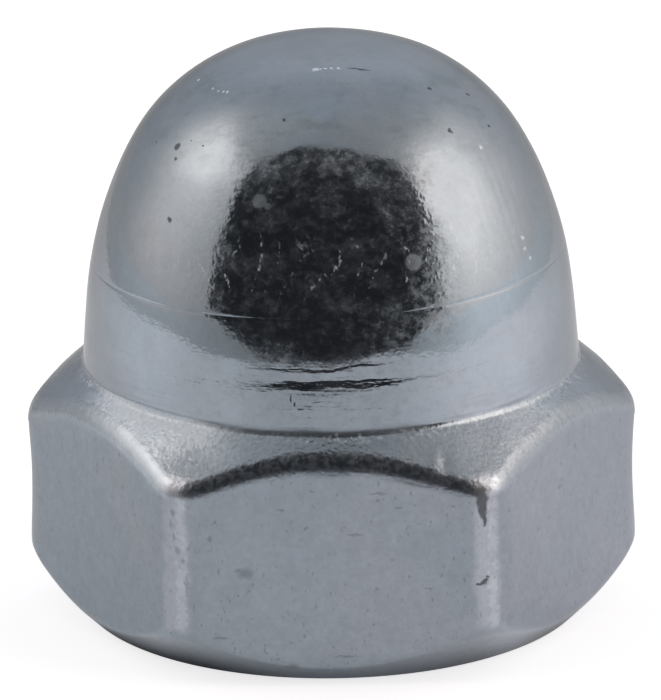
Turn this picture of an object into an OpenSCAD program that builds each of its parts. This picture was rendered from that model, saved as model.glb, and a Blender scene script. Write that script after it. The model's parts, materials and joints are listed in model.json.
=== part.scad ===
// Domed cap nut: a hexagon and a closed cap, forged as one piece,
// with a blind threaded hole in its underside.
//
// The origin is the centre of the bearing face. The thread's axis is Z, and
// the cap points up. Two flats face -Y and +Y, and two corners point to -X and +X.

/* [Hexagon] */

// Width across two opposite flats
across_flats = 17; // [15.8:0.1:19]

// How far each sharp corner is turned back, which leaves a narrow land
corner_relief = 0.285; // [0.1:0.005:0.5]

// Depth of the hollow halfway up each land
corner_hollow = 0.1; // [0.02:0.01:0.25]

// Height at which the top chamfer meets the wall of the cap
hexagon_height = 7.86; // [7.2:0.02:8.6]

/* [Chamfers] */

// Diameter of the flat ring that the nut bears on
bearing_d = 15.7; // [14.6:0.1:16.4]

// Slope of the bottom chamfer, from the bearing face
bottom_chamfer_slope = 44; // [30:1:50]

// Slope of the top chamfer, from the horizontal
top_chamfer_slope = 43; // [30:1:50]

/* [Cap] */

// Height from the bearing face to the crown
total_height = 18; // [17:0.1:21]

// Diameter of the cap where its wall begins to curve in
cap_d = 15.22; // [14.6:0.02:15.6]

// Draft of the wall of the cap, from the vertical
cap_draft = 4.8; // [1:0.2:7]

// Radius of the curve above the wall
flank_radius = 12.9; // [12:0.1:14]

// Angle that the flank has turned through where the shoulder takes over
flank_turn = 30; // [26:1:34]

// Radius of the tight curve between the flank and the crown
shoulder_radius = 5.2; // [4.4:0.1:6]

// Radius of the shallow curve over the top
crown_radius = 11.6; // [9:0.1:20]

// Radius of the fillet where the top chamfer meets the wall
foot_fillet = 0.35; // [0.1:0.05:0.8]

/* [Threaded hole] */

// Nominal diameter of the thread
thread_d = 10; // [8:0.5:11]

// Pitch of the thread
thread_pitch = 1.5; // [1:0.25:1.75]

// Depth of the drilled hole, without its pointed end
hole_depth = 13; // [9:0.1:13.4]

// Point angle of the drill
drill_point_angle = 118; // [110:1:140]

// Diameter of the countersink at the mouth
countersink_d = 10.6; // [10:0.1:12]

// Included angle of the countersink
countersink_angle = 120; // [80:5:130]

/* [Hidden] */

// Facets of a turned surface, and short flats along each curve of the outline
turned_facets = 180;
land_steps = 8;
fillet_steps = 4;
flank_steps = 9;
shoulder_steps = 14;
crown_steps = 5;

// How far the hole's cutter reaches out of the bearing face
cutter_reach = 1;

bearing_radius = bearing_d / 2;

// The sharp hexagon's corners, and the lands that are turned on them
sharp_corner_radius = across_flats / 2 / cos(30);
corner_radius = sharp_corner_radius - corner_relief;

// The tapped hole is drilled one pitch under the nominal diameter
tapping_radius = (thread_d - thread_pitch) / 2;
countersink_radius = countersink_d / 2;
countersink_depth = (countersink_radius - tapping_radius) / tan(countersink_angle / 2);
drill_point_height = tapping_radius / tan(drill_point_angle / 2);

// The cap's outline is three arcs, each tangent to the next. The crown's centre is on
// the axis, so the angle where the shoulder ends follows from the three radii.
flank_x = cap_d / 2 - flank_radius * cos(cap_draft);
shoulder_x = flank_x + (flank_radius - shoulder_radius) * cos(flank_turn);
shoulder_turn = acos(shoulder_x / (crown_radius - shoulder_radius));
crown_z = total_height - crown_radius;
shoulder_z = crown_z + (crown_radius - shoulder_radius) * sin(shoulder_turn);
flank_z = shoulder_z - (flank_radius - shoulder_radius) * sin(flank_turn);

// The wall runs down from the flank, at its draft, to the top chamfer
wall_top_z = flank_z + flank_radius * sin(cap_draft);
wall_foot_radius = cap_d / 2 + (wall_top_z - hexagon_height) * tan(cap_draft);

// Heights of the two ends of each corner's land
land_bottom = (corner_radius - bearing_radius) * tan(bottom_chamfer_slope);
land_top = hexagon_height - (corner_radius - wall_foot_radius) * tan(top_chamfer_slope);

// Points of an arc, from angle a to angle b
function arc(x, z, r, a, b, steps) =
    [for (i = [0 : steps]) let (t = a + (b - a) * i / steps) [x + r * cos(t), z + r * sin(t)]];

// The list without its first point, for a curve that starts where the last one ended
function rest_of(points) = [for (i = [1 : len(points) - 1]) points[i]];

// The land of a corner: a shallow hollow, deepest halfway up
function land_curve() =
    let (
        half = (land_top - land_bottom) / 2,
        r = (half * half + corner_hollow * corner_hollow) / (2 * corner_hollow),
        sweep = asin(half / r)
    )
    arc(corner_radius - corner_hollow + r, land_bottom + half, r, 180 + sweep, 180 - sweep, land_steps);

// The fillet at the foot of the wall. It touches the chamfer below and the wall above.
function foot_curve() =
    let (
        turn = 90 - cap_draft - top_chamfer_slope,
        reach = foot_fillet * tan(turn / 2),
        x = wall_foot_radius - reach * sin(cap_draft) + foot_fillet * cos(cap_draft),
        z = hexagon_height + reach * cos(cap_draft) + foot_fillet * sin(cap_draft)
    )
    arc(x, z, foot_fillet, 180 + cap_draft + turn, 180 + cap_draft, fillet_steps);

// Half of the nut's outline, from the centre of the bearing face to the crown
function outline() = concat(
    [[0, 0], [bearing_radius, 0]],
    land_curve(),
    foot_curve(),
    arc(flank_x, flank_z, flank_radius, cap_draft, flank_turn, flank_steps),
    rest_of(arc(shoulder_x, shoulder_z, shoulder_radius, flank_turn, shoulder_turn, shoulder_steps)),
    rest_of(arc(0, crown_z, crown_radius, shoulder_turn, 90, crown_steps))
);

// The forged and turned outer form: a round blank that the six flats cut
module blank() {
    intersection() {
        cylinder(r = sharp_corner_radius, h = total_height + cutter_reach, $fn = 6);
        rotate_extrude($fn = turned_facets) polygon(outline());
    }
}

// The blind hole at its tapping size, with its countersink and the drill's point
module threaded_hole() {
    rotate_extrude($fn = turned_facets)
        polygon([
            [0, -cutter_reach],
            [countersink_radius, -cutter_reach],
            [countersink_radius, 0],
            [tapping_radius, countersink_depth],
            [tapping_radius, hole_depth],
            [0, hole_depth + drill_point_height]
        ]);
}

module cap_nut() {
    color([0.56, 0.58, 0.61])
        difference() {
            blank();
            threaded_hole();
        }
}

cap_nut();
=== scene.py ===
"""The finish of a domed cap nut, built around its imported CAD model.

The whole nut is one surface: a closed grid that starts at the point of the drilled
hole, comes down the thread, crosses the bearing face, and goes up over the hexagon
and the cap to the crown. Lengths in the functions below are millimetres, and are
turned into metres when a mesh is made. The studio is a pale floor inside a bright
tent with one dark opening, through which the nut is seen.
"""

import json
import math

import bpy
import numpy as np
from bpy.props import FloatProperty, FloatVectorProperty, IntProperty, PointerProperty
from mathutils import Matrix, Vector


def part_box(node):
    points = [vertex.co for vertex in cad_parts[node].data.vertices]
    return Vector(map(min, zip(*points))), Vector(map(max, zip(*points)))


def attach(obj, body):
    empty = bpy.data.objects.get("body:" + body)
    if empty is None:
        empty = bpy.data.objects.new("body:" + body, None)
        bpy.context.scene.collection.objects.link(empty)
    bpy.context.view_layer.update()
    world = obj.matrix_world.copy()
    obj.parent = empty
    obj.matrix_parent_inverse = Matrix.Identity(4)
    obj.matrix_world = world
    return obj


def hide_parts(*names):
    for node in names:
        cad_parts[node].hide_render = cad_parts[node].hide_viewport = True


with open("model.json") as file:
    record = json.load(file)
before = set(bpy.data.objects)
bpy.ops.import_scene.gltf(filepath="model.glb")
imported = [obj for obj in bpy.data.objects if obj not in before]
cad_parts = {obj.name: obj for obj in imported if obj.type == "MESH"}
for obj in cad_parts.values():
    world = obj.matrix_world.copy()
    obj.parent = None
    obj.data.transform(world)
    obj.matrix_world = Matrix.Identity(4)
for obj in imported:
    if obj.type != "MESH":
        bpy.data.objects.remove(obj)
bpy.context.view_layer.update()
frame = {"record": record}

bl_info = {
    "name": "Domed cap nut",
    "version": (1, 0, 0),
    "blender": (4, 5, 0),
    "location": "View3D > Sidebar > Cap nut",
    "description": "A plated steel cap nut with its thread, texture and wear, on a studio floor",
    "category": "Add Mesh",
}

MM = 0.001
NODE = "cap_nut"
BODY = "root"

NODE_LOW, NODE_HIGH = (np.array(corner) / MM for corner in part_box(NODE))
MOUNTS = {mount["name"]: mount for mount in frame["record"]["mounts"]}
TAPPING_RADIUS = MOUNTS["thread"]["dims"]["r_mm"]
TAPPED_LENGTH = MOUNTS["thread"]["dims"]["length_mm"]

# A sixth of a turn, from one corner of the hexagon to the next
SIXTH = math.pi / 3
# Half the angle of the countersink at the mouth of the hole
SINK_HALF = math.radians(60)
# How far the edge is rounded where a flat meets a corner land
LAND_BLEND = 0.2
# Half the width of the parting line's groove
GROOVE = 0.03
# Faces that turn by more than this keep a sharp edge between them
SHARP_ANGLE = math.radians(38)
# Place of the front flat on the Y axis
FRONT_FLAT = float(NODE_LOW[1])

# Chains of scuffs round the cap
CHAINS = 58
# How far the edges of marks are shaken
SHAKE = 0.08
# Radius of the cylinder on which the lines of drawing are laid out
DRAWN_RADIUS = 7.4
# Height of the middle of the fillet at the foot of the cap
FOOT_MIDDLE = 7.91

DEGREES = 180 / math.pi
WHITE = (1.0, 1.0, 1.0)
# The camera stands round a point at this height on the axis, and aims this far to the right of it
# and below it, as shares of its distance
AIM_HEIGHT = 10.0
AIM = (-0.00004, 0.00865)
SENSOR_WIDTH = 36.0
# The nearest and the farthest that the camera sees, in metres
CLIP_START, CLIP_END = 0.01, 10.0
# The brightest that a wall and its lamps may be together
BRIGHTEST = 1.88
# Tinge of the tent's light behind the nut
BACK_TINGE = (0.945, 0.975, 1.035)
# How far the floor lies below the bearing face, so that the two never share a plane
FLOOR_GAP = 0.01
# How bright the floor is by its own shading, which its lift in reflections leaves out
OWN_LIGHT = 0.36
# What lifts the floor to white for the camera
FLOOR_LIFT = (0.73, 0.723, 0.73)
# Radius within which the floor is clear, so that the underside can be seen
CLEAR_RADIUS = 7.3
# Radius and height of the point on the cap's wall from which the mirrored floor is judged
WALL_POINT = (7.6, 9.5)


# ---------------------------------------------------------------- settings


def size(name, default, description):
    """A length setting in millimetres."""
    return FloatProperty(name=name, default=default, description=description, min=0.0)


def tint(name, default, description):
    """A colour setting."""
    return FloatVectorProperty(
        name=name, default=default, description=description,
        subtype="COLOR", size=3, min=0.0, max=4.0,
    )


def share(name, default, description):
    """A setting between 0 and 1."""
    return FloatProperty(
        name=name, default=default, description=description, subtype="FACTOR", min=0.0, max=1.0
    )


def angle(name, degrees, description):
    """An angle setting, whose default is given in degrees."""
    return FloatProperty(
        name=name, default=math.radians(degrees), description=description,
        subtype="ANGLE", unit="ROTATION",
    )


class NutSizes(bpy.types.PropertyGroup):
    """Sizes of the nut in millimetres. They follow its CAD solid, but the curves over the cap, the
    top chamfer and the edges are closer to a real nut."""

    across_flats: size("Across flats", float(NODE_HIGH[1] - NODE_LOW[1]), "Width across two opposite flats")
    corner_radius: size("Corner radius", float(NODE_HIGH[0]), "Radius of the turned corner lands")
    corner_hollow: size("Corner hollow", 0.08, "Depth of the hollow halfway up each corner")
    hollow_height: size("Hollow height", 4.2, "Height of the middle of that hollow")
    hollow_reach: size("Hollow reach", 2.1, "How far the hollow reaches up and down")
    total_height: size("Height", float(NODE_HIGH[2]), "Height from the bearing face to the crown")
    hexagon_height: size("Hexagon height", 7.86, "Height at which the top chamfer meets the cap")
    bearing_radius: size("Bearing radius", 7.87, "Outer radius of the ring that the nut bears on")
    bottom_slope: angle("Bottom chamfer", 44, "Slope of the bottom chamfer from the bearing face")
    top_slope: angle("Top chamfer", 41, "Slope of the top chamfer from the horizontal")
    cap_radius: size("Cap radius", 7.61, "Radius of the cap where its wall begins to curve in")
    cap_draft: angle("Cap draft", 4.8, "Draft of the wall of the cap")
    flank_radius: size("Flank radius", 12.98, "Radius of the curve above the wall")
    flank_turn: angle("Flank turn", 27.8, "Angle at which the shoulder takes over from the flank")
    shoulder_radius: size("Shoulder radius", 5.94, "Radius of the curve between the flank and the crown")
    crown_radius: size("Crown radius", 23.9, "Radius of the curve over the top")
    foot_fillet: size("Foot fillet", 0.25, "Fillet where the top chamfer meets the cap")
    top_edge: size("Top edge", 0.95, "Rounding between the flats and the top chamfer")
    bottom_edge: size("Bottom edge", 0.4, "Rounding between the flats and the bottom chamfer")
    bearing_edge: size("Bearing edge", 0.15, "Rounding at the rim of the bearing face")
    thread_radius: size("Thread radius", 5.0, "Radius at the roots of the thread in the hole")
    thread_pitch: size("Thread pitch", 1.5, "Pitch of the thread")
    thread_reach: size("Thread reach", 11.2, "Height at which the thread has run out")
    mouth_radius: size("Mouth radius", 5.3, "Radius of the countersink at the mouth")
    drill_point: angle("Drill point", 118, "Point angle of the drilled hole")
    seam_height: size("Seam height", 11.39, "Height of the forging dies' parting line")
    seam_tilt: angle("Seam tilt", 1.6, "Tilt of the parting line, higher towards +X")


class NutMesh(bpy.types.PropertyGroup):
    """How finely the surface of the nut is divided, and how uneven forging left it."""

    columns_per_corner: IntProperty(
        name="Columns", default=60, min=24, description="Columns for each sixth of a turn"
    )
    unevenness: size("Unevenness", 0.012, "Height of the slow waves that forging left in the surface")
    chamfer_grain: size("Chamfer grain", 0.008, "Height of the coarse grain on the top chamfer")
    land_turn: angle("Land turn", 2.3, "Half the turn that the worn part of a corner land takes")


class NutFinish(bpy.types.PropertyGroup):
    """Colours and gloss of the plating."""

    plating: tint("Plating", (0.300, 0.345, 0.390), "Main colour of the plated steel")
    violet: tint("Violet tinge", (0.340, 0.366, 0.408), "Colour where the plating has a violet tinge")
    green: tint("Green tinge", (0.238, 0.285, 0.315), "Colour of the dull greenish patches on the crown")
    # Also the colour of the painted highlight on the top chamfer by the left corner
    scuffed_and_highlight: tint("Scuffed", (0.8, 0.9, 1.0), "Colour where the plating is rubbed")
    # Also the colour of the painted shade on the front of the top chamfer
    stain_and_shade: tint("Stain", (0.05, 0.055, 0.06), "Colour of pits and dark marks")
    cap_gloss: share("Cap roughness", 0.07, "Roughness of the drawn cap")
    flat_gloss: share("Flat roughness", 0.27, "Roughness of the flats")
    chamfer_gloss: share("Chamfer roughness", 0.15, "Roughness of the grainy top chamfer")


class Studio(bpy.types.PropertyGroup):
    """The camera, the tent and the floor."""

    camera_distance: size("Camera distance", 220.96, "From the camera to the nut's axis, in millimetres")
    camera_height: angle("Camera elevation", 17.745, "How far the camera looks down")
    camera_turn: angle("Camera turn", 0.417, "How far the camera stands round the axis from -Y")
    camera_roll: angle("Camera roll", -0.774, "How far the picture is turned")
    lens: FloatProperty(name="Lens", default=364.5, unit="CAMERA", description="Focal length")
    tent: tint("Tent", (0.995, 1.0, 1.01), "Colour of the light from the tent's walls")
    lamps: tint("Lamps", (1.118, 0.963, 0.852), "Colour of the two lamps behind the walls")
    opening: tint("Opening", (0.033, 0.033, 0.036), "Colour seen through the tent's opening")
    floor: tint("Floor", (0.62, 0.63, 0.64), "Colour of the floor")
    floor_size: size("Floor size", 1600.0, "Side of the floor, in millimetres")


# ---------------------------------------------------------------- shapes


def smooth_step(x, low, high):
    """0 below low and 1 above high, with 3t^2 - 2t^3 between them."""
    t = np.clip((x - low) / (high - low), 0, 1)
    return t * t * (3 - 2 * t)


def smooth_min(a, b, blend):
    """The smaller of a and b, rounded where they differ by less than blend."""
    h = np.clip(0.5 + 0.5 * (b - a) / blend, 0, 1)
    return b * (1 - h) + a * h - blend * h * (1 - h)


def waves(points, length, seed, count=28):
    """Smooth noise of about unit height: the sum of many cosines of random direction and phase,
    whose wavelengths lie round the given length. points has shape (..., 3)."""
    rng = np.random.default_rng(seed)
    directions = rng.normal(size=(count, 3))
    directions /= np.linalg.norm(directions, axis=1, keepdims=True)
    wave_numbers = 2 * np.pi / (length * rng.uniform(0.7, 1.5, count))
    phases = rng.uniform(0, 2 * np.pi, count)
    total = np.zeros(points.shape[:-1])
    for direction, number, phase in zip(directions, wave_numbers, phases):
        total += np.cos(points @ direction * number + phase)
    return total * math.sqrt(2 / count)


def column_angles(per_corner):
    """Angles of the columns, in radians. In each sixth of a turn, x runs from -1 to 1 across a
    corner, and the angle from the corner is 30 degrees times (a x + (1 - a) x |x|), so the
    columns stand closer at the corners. The first column is at a flat's middle."""
    crowding = 0.36
    x = -1 + 2 * np.arange(per_corner) / per_corner
    offset = SIXTH / 2 * (crowding * x + (1 - crowding) * x * np.abs(x))
    return (SIXTH * np.arange(6)[:, None] + offset[None, :]).ravel()


def level_row(radius, height, turn):
    """One row with the same radius and height in every column."""
    return np.array([np.full(len(turn), radius), np.full(len(turn), height)])


def straight(start, end, steps, margin=0.03):
    """Rows of points from start to end, each of shape (2, columns). The rows are evenly spaced,
    but for one more row a margin inside each end."""
    length = np.hypot(*(end - start)).mean()
    edge = min(margin / length, 0.2)
    t = np.concatenate([[0, edge], np.linspace(0, 1, steps + 1)[1:-1], [1 - edge, 1]])
    t = np.unique(np.round(t, 6))
    return start[None] + (end - start)[None] * t[:, None, None]


def fillet(corner, into, out_of, radius, steps):
    """Rows of points round a corner. into and out_of are unit directions along the outline
    before and after the corner, and the arc touches both at radius times tan(half the turn)."""
    turn = np.arccos(np.clip((into * out_of).sum(0), -1, 1))
    reach = radius * np.tan(turn / 2)
    inwards = out_of - into
    inwards = inwards / np.linalg.norm(inwards, axis=0)
    centre = corner + inwards * radius / np.cos(turn / 2)
    start = corner - into * reach - centre
    end = corner + out_of * reach - centre
    t = np.linspace(0, 1, steps + 1)[:, None]
    first = np.sin((1 - t) * turn) / np.sin(turn)
    last = np.sin(t * turn) / np.sin(turn)
    return centre[None] + first[:, None] * start[None] + last[:, None] * end[None]


def cap_outline(s):
    """The cap's outline as a dense curve: arc length, radius and height, from the foot of the
    wall to the crown. It is a straight wall at the draft and three arcs, each tangent to the next,
    and the crown's centre is on the axis."""
    flank_x = s.cap_radius - s.flank_radius * math.cos(s.cap_draft)
    shoulder_x = flank_x + (s.flank_radius - s.shoulder_radius) * math.cos(s.flank_turn)
    shoulder_turn = math.acos(shoulder_x / (s.crown_radius - s.shoulder_radius))
    crown_z = s.total_height - s.crown_radius
    shoulder_z = crown_z + (s.crown_radius - s.shoulder_radius) * math.sin(shoulder_turn)
    flank_z = shoulder_z - (s.flank_radius - s.shoulder_radius) * math.sin(s.flank_turn)
    wall_top = flank_z + s.flank_radius * math.sin(s.cap_draft)
    foot = s.cap_radius + (wall_top - s.hexagon_height) * math.tan(s.cap_draft)

    radii = [np.array([foot, s.cap_radius])]
    heights = [np.array([s.hexagon_height, wall_top])]
    for x, z, r, a, b in (
        (flank_x, flank_z, s.flank_radius, s.cap_draft, s.flank_turn),
        (shoulder_x, shoulder_z, s.shoulder_radius, s.flank_turn, shoulder_turn),
        (0.0, crown_z, s.crown_radius, shoulder_turn, math.pi / 2),
    ):
        t = np.linspace(a, b, 400)[1:]
        radii.append(x + r * np.cos(t))
        heights.append(z + r * np.sin(t))
    radius, height = np.concatenate(radii), np.concatenate(heights)
    length = np.concatenate([[0], np.cumsum(np.hypot(np.diff(radius), np.diff(height)))])
    return length, radius, height


def hole_rows(s, turn):
    """Rows of the blind hole, from the drill's point down to the mouth: the plain rows above the
    thread, the helical block, and how many rows one turn of the thread takes. Inside that block
    the rows climb one pitch in each turn, so the ridges of the thread lie along them. Its radius
    is the larger of the countersink's cone and the thread, whose depth fades away over its last
    turn."""
    cone_depth = (s.mouth_radius - TAPPING_RADIUS) / math.tan(SINK_HALF)
    hole_top = cone_depth + TAPPED_LENGTH
    point = hole_top + TAPPING_RADIUS / math.tan(s.drill_point / 2)
    beside_point = 0.02
    tip = level_row(beside_point, point - beside_point, turn)
    shelf = level_row(TAPPING_RADIUS, hole_top, turn)
    run_out = level_row(TAPPING_RADIUS, s.thread_reach, turn)
    above = np.concatenate([straight(tip, shelf, steps=5), straight(shelf, run_out, steps=4)[1:-1]])

    # One turn of the thread: shares of the pitch at which rows lie, and the depth there
    share_of_pitch = np.array([0.0, 0.14, 0.28, 0.568, 0.64, 0.712])
    depth_of_row = np.array([0.0, 0.0, 0.0, 1.0, 1.0, 1.0])
    # The helix starts just above the bearing face
    low, high = 0.12, s.thread_reach
    turns = int(math.ceil((high - low) / s.thread_pitch)) + 2
    climb = np.concatenate([k + share_of_pitch for k in range(turns)])
    depth = np.tile(depth_of_row, turns)
    height = low + s.thread_pitch * (climb[:, None] - 1 + turn[None, :] / (2 * np.pi))
    height = np.clip(height, low, high)
    fade = 1 - smooth_step(height, high - s.thread_pitch, high - 0.05)
    thread = TAPPING_RADIUS + (s.thread_radius - TAPPING_RADIUS) * depth[:, None] * fade
    cone = s.mouth_radius - height * math.tan(SINK_HALF)
    radius = -smooth_min(-thread, -cone, blend=0.06)
    block = np.stack([radius, height], axis=1)[::-1]
    return above, block, len(share_of_pitch)


def cap_rows(s, turn, foot_row):
    """Rows of the cap, from the last row of its foot fillet to just below the crown. They follow
    the arc length of its outline, five of them lie across the groove of the parting line, and
    round it they tilt with its plane."""
    length, radius, height = cap_outline(s)
    start = float(np.interp(foot_row[1].mean(), height, length))
    seam = np.interp(s.seam_height, height, length)
    across_groove = np.array([-1.6, -0.8, 0, 0.8, 1.6]) * 0.035
    rows = np.concatenate([
        [start, start + 0.03],
        np.linspace(start, seam - 0.12, 27)[1:],
        seam + across_groove,
        np.linspace(seam + 0.12, length[-1] - 0.06, 76),
    ])
    tilt = smooth_step(rows, start + 0.1, start + 1.4)
    tilt = tilt * (1 - smooth_step(rows, seam + 0.8, seam + 4.5))
    lift = np.tan(s.seam_tilt) * np.interp(rows, length, radius)[:, None] * np.cos(turn)[None]
    along = rows[:, None] + tilt[:, None] * lift
    return np.stack([np.interp(along, length, radius), np.interp(along, length, height)], axis=1)


def outside_rows(s, turn):
    """Rows of the outside, from the rim of the hole to just below the crown, with how grainy each
    row is and whether it belongs to the flats.

    At each angle the side of the hexagon is at the smaller of the flat's distance over the
    cosine of the angle from its middle, and the radius of the turned corner land, which is
    hollow. The chamfers are cones that meet it above and below."""
    from_middle = (turn + SIXTH) % SIXTH - SIXTH / 2
    flat_radius = s.across_flats / 2 / np.cos(from_middle)
    foot_radius = cap_outline(s)[1][0]

    def side(height):
        """Radius of the hexagon's side."""
        away = np.clip(1 - ((height - s.hollow_height) / s.hollow_reach) ** 2, 0, 1) ** 1.5
        land = s.corner_radius - s.corner_hollow * away
        return smooth_min(flat_radius, land, LAND_BLEND)

    # The chamfers' edges lie where a cone meets the side, whose radius depends on their height, so
    # a few rounds settle them
    bottom_z, top_z = np.full(len(turn), 0.7), np.full(len(turn), 7.0)
    for _ in range(8):
        bottom_z = (side(bottom_z) - s.bearing_radius) * math.tan(s.bottom_slope)
        top_z = s.hexagon_height - (side(top_z) - foot_radius) * math.tan(s.top_slope)
    step = 0.02

    def side_direction(height):
        """Unit direction up the side."""
        slope = (side(height + step) - side(height - step)) / (2 * step)
        along = np.array([slope, np.ones_like(slope)])
        return along / np.linalg.norm(along, axis=0)

    out = level_row(1, 0, turn)
    up_bottom = level_row(math.cos(s.bottom_slope), math.sin(s.bottom_slope), turn)
    up_top = level_row(-math.cos(s.top_slope), math.sin(s.top_slope), turn)
    up_wall = level_row(-math.sin(s.cap_draft), math.cos(s.cap_draft), turn)
    down_cone = level_row(math.sin(SINK_HALF), -math.cos(SINK_HALF), turn)
    low_side = side_direction(bottom_z + 2 * step)
    high_side = side_direction(top_z - 2 * step)
    bearing_corner = level_row(s.bearing_radius, 0, turn)
    bottom_corner = np.array([side(bottom_z), bottom_z])
    top_corner = np.array([side(top_z), top_z])
    foot_corner = level_row(foot_radius, s.hexagon_height, turn)

    near_land = smooth_step(flat_radius, s.corner_radius - 0.35, s.corner_radius + 0.05)
    bottom_edge = s.bottom_edge * (1 + 0.9 * near_land)
    mouth = fillet(level_row(s.mouth_radius, 0, turn), down_cone, out, radius=0.08, steps=2)
    rim = fillet(bearing_corner, out, up_bottom, s.bearing_edge, steps=4)
    low_edge = fillet(bottom_corner, up_bottom, low_side, bottom_edge, steps=6)
    high_edge = fillet(top_corner, high_side, up_top, s.top_edge, steps=10)
    foot = fillet(foot_corner, up_top, up_wall, s.foot_fillet, steps=5)

    bearing = straight(mouth[-1], rim[0], steps=4)
    bottom_chamfer = straight(rim[-1], low_edge[0], steps=5)
    flat_z = straight(low_edge[-1], high_edge[0], steps=38)[:, 1]
    flat = np.stack([side(flat_z), flat_z], axis=1)
    top_chamfer = straight(high_edge[-1], foot[0], steps=11)
    cap = cap_rows(s, turn, foot[-1])

    # Each stretch of rows, with its grain at both ends and whether it is part of the flats
    pieces = [
        (mouth, 0, 0, 0), (bearing[1:-1], 0, 0, 0), (rim, 0, 0.1, 1),
        (bottom_chamfer[1:-1], 0.1, 0.1, 1), (low_edge, 0.1, 0.03, 1),
        (flat[1:-1], 0.02, 0.02, 1), (high_edge, 0.3, 1, 1),
        (top_chamfer[1:-1], 1, 1, 0), (foot, 1, 0.5, 0), (cap[1:], 0, 0, 0),
    ]
    grain = np.concatenate([np.linspace(first, last, len(rows)) for rows, first, last, _ in pieces])
    flats = np.concatenate([np.full(len(rows), part) for rows, _, _, part in pieces])
    return np.concatenate([piece[0] for piece in pieces]), grain, flats


def land_share(turn, half):
    """By the angle from each corner: 1 in the middle of its land and 0 away from it, and the
    place across the land, from 0 at its clockwise side to 1 at the other."""
    from_corner = (turn + SIXTH / 2) % SIXTH - SIXTH / 2
    across = np.clip(0.5 + from_corner / (4 * half), 0, 1)
    return 1 - smooth_step(np.abs(from_corner), half * 0.6, half * 1.8), across


def place(rows, turn):
    """Points in space for rows of (radius, height), where turn is the angle of each column."""
    radius, height = rows[:, 0], rows[:, 1]
    return np.stack([radius * np.cos(turn), radius * np.sin(turn), height], axis=-1)


def grid_normals(points):
    """Unit normals of a grid that closes round its columns, from the cross product of the
    differences along the columns and the rows."""
    across = np.roll(points, -1, axis=1) - np.roll(points, 1, axis=1)
    along = np.gradient(points, axis=0)
    normals = np.cross(across, along)
    return normals / np.maximum(np.linalg.norm(normals, axis=-1, keepdims=True), 1e-12)


def closed_faces(rows, columns, block_start, block_end, shift):
    """Corner numbers of the quads of a grid whose last column joins its first. Between the rows
    block_start and block_end the rows are helical, so there the join drops by one turn's rows."""
    row = np.arange(rows - 1)[:, None]
    column = np.arange(columns)[None, :]
    following = (column + 1) % columns
    wraps = following == 0

    def joined(r):
        inside = (r >= block_start) & (r <= block_end)
        moved = np.clip(r - shift, block_start, block_end)
        return np.where(wraps & inside, moved, r + 0 * column)

    lower_left = row * columns + column
    upper_left = (row + 1) * columns + column
    lower_right = joined(row) * columns + following
    upper_right = joined(row + 1) * columns + following
    return np.stack([lower_left, lower_right, upper_right, upper_left], axis=-1).reshape(-1, 4)


def mesh_from(name, points, quads, poles, layers):
    """A closed mesh from a grid. Points that coincide are merged, quads that lose a side become
    triangles, and each pole joins its ring with a fan. layers are numbers stored on the points."""
    flat = points.reshape(-1, 3)
    _, first, merged = np.unique(np.round(flat, 7), axis=0, return_index=True, return_inverse=True)
    merged = merged.reshape(-1)
    vertices = flat[first]
    quads = merged[quads]
    columns = points.shape[1]
    count = len(vertices)
    fans = []
    for pole, ring, outwards in poles:
        vertices = np.vstack([vertices, pole])
        ids = merged[ring * columns + np.arange(columns)]
        pair = (ids, np.roll(ids, -1)) if outwards else (np.roll(ids, -1), ids)
        fans.append(np.stack([*pair, np.full(columns, len(vertices) - 1)], axis=1))

    same = quads == np.roll(quads, -1, axis=1)
    whole = quads[same.sum(1) == 0]
    pinched = quads[same.sum(1) == 1]
    keep = ~(pinched == np.roll(pinched, -1, axis=1))
    triangles = np.vstack([pinched[keep].reshape(-1, 3), *fans])
    crossed = (whole[:, 0] == whole[:, 2]) | (whole[:, 1] == whole[:, 3])
    whole = whole[~crossed]
    open_triangle = (triangles[:, 0] != triangles[:, 1]) & (triangles[:, 1] != triangles[:, 2])
    open_triangle &= triangles[:, 0] != triangles[:, 2]
    triangles = triangles[open_triangle]

    mesh = bpy.data.meshes.new(name)
    mesh.vertices.add(len(vertices))
    mesh.vertices.foreach_set("co", (vertices * MM).astype(np.float32).ravel())
    mesh.loops.add(whole.size + triangles.size)
    corners = np.concatenate([whole.ravel(), triangles.ravel()])
    mesh.loops.foreach_set("vertex_index", corners.astype(np.int32))
    sizes = np.concatenate([np.full(len(whole), 4), np.full(len(triangles), 3)])
    mesh.polygons.add(len(sizes))
    mesh.polygons.foreach_set("loop_start", (np.cumsum(sizes) - sizes).astype(np.int32))
    mesh.update(calc_edges=True)
    mesh.validate()
    for layer, values in layers.items():
        stored = np.zeros((len(vertices), 3))
        stored[:count] = values.reshape(-1, 3)[first]
        attribute = mesh.attributes.new(layer, "FLOAT_VECTOR", "POINT")
        attribute.data.foreach_set("vector", stored.astype(np.float32).ravel())
    mesh.shade_smooth()
    mesh.set_sharp_from_angle(angle=SHARP_ANGLE)
    return mesh


def dent(points, centre, spread):
    """A smooth bump of height 1 round a point, with its own spread along each axis."""
    off = (points - np.array(centre)) / np.array(spread)
    return np.exp(-(off ** 2).sum(-1))


def seam_depth(points, sizes):
    """Depth of the parting line's groove: a bell curve of the height above its tilted plane,
    uneven, and deepest at two places in front."""
    height = points[..., 2]
    on_cap = smooth_step(height, sizes.hexagon_height + 0.1, sizes.hexagon_height + 0.6)
    above = height - math.tan(sizes.seam_tilt) * points[..., 0] - sizes.seam_height
    depth = 0.0045 + 0.003 * waves(points, 2.5, seed=15)
    depth = depth + 0.004 * dent(points, (3.7, -6.0, 11.4), (2.4, 2.4, 1.0))
    depth = depth + 0.001 * dent(points, (-3.2, -6.4, 11.3), (1.8, 2.0, 1.0))
    return depth * on_cap * np.exp(-((above / GROOVE) ** 2))


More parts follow.
